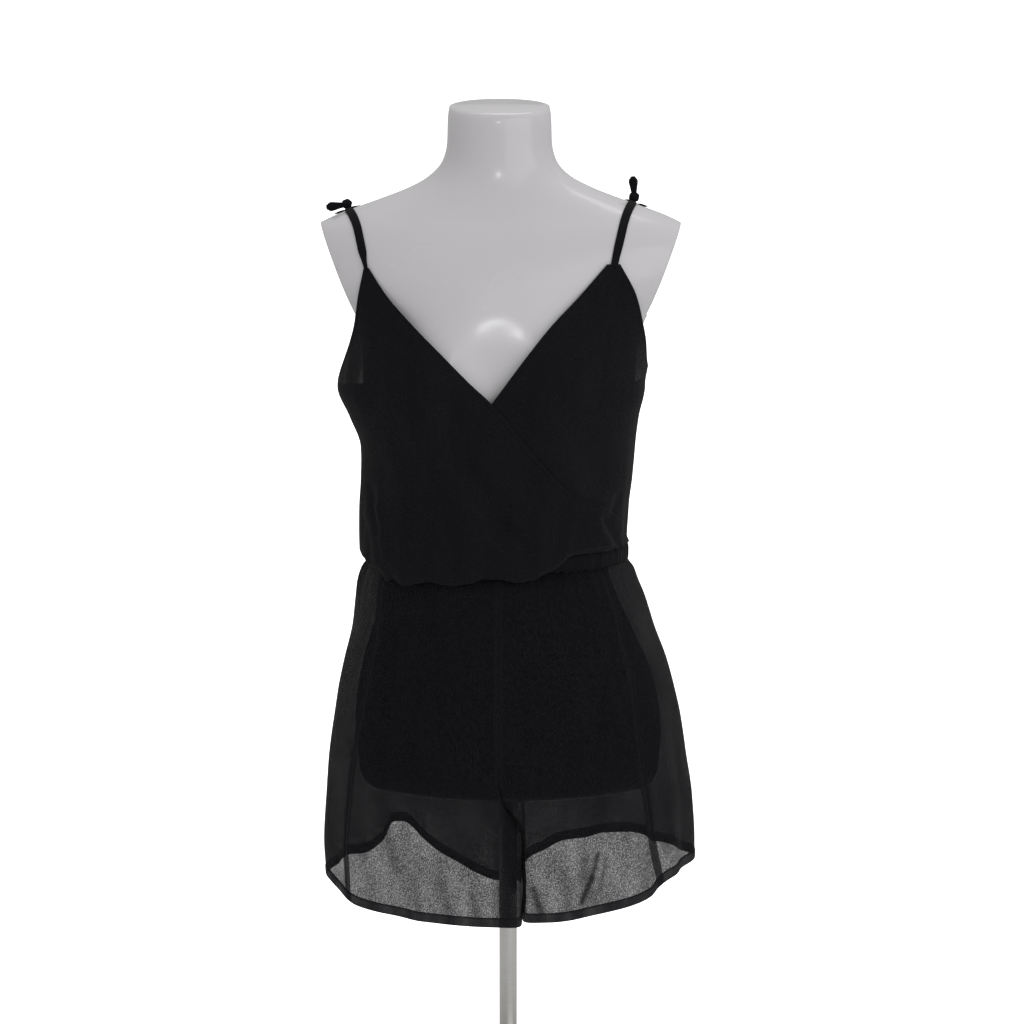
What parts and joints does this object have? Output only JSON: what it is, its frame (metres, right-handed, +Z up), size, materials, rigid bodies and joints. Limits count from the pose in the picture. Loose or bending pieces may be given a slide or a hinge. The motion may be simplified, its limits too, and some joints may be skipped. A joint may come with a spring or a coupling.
{
  "type": "short wrap-front jumpsuit on a limbless dress form stand",
  "caption": "Short sleeveless wrap-front jumpsuit of sheer crepe with tie straps, a gathered waist and wide legs, worn on a glossy limbless dress form on a pole and round base.",
  "frame": {"origin": "middle of the base plate's underside, on the axis of the pole", "axes": "+Z up, -Y the way the front looks, +X towards the wearer's left"},
  "size_m": [0.4119, 0.33, 1.1148],
  "materials": {
    "crepe": "matte, sheer, with a fine crinkle along the grain",
    "form": "smooth glossy lacquer",
    "steel": "satin"
  },
  "bodies": {
    "root": {"form_torso": "form", "base_plate": "steel", "base_collar": "steel", "form_flange": "steel", "pole": "steel", "bodice_front_right": "crepe", "bodice_front_left": "crepe", "bodice_back": "crepe", "waist_casing": "crepe", "shorts_front_right": "crepe", "shorts_front_left": "crepe", "shorts_back_right": "crepe", "shorts_back_left": "crepe", "hem_right": "crepe", "hem_left": "crepe", "strap_front_right": "crepe", "strap_back_right": "crepe", "tie_tail_right": "crepe", "tie_knot_right": "crepe", "tie_loop_right": "crepe", "strap_front_left": "crepe", "strap_back_left": "crepe", "tie_tail_left": "crepe", "tie_knot_left": "crepe", "tie_loop_left": "crepe"}
  },
  "joints": []
}
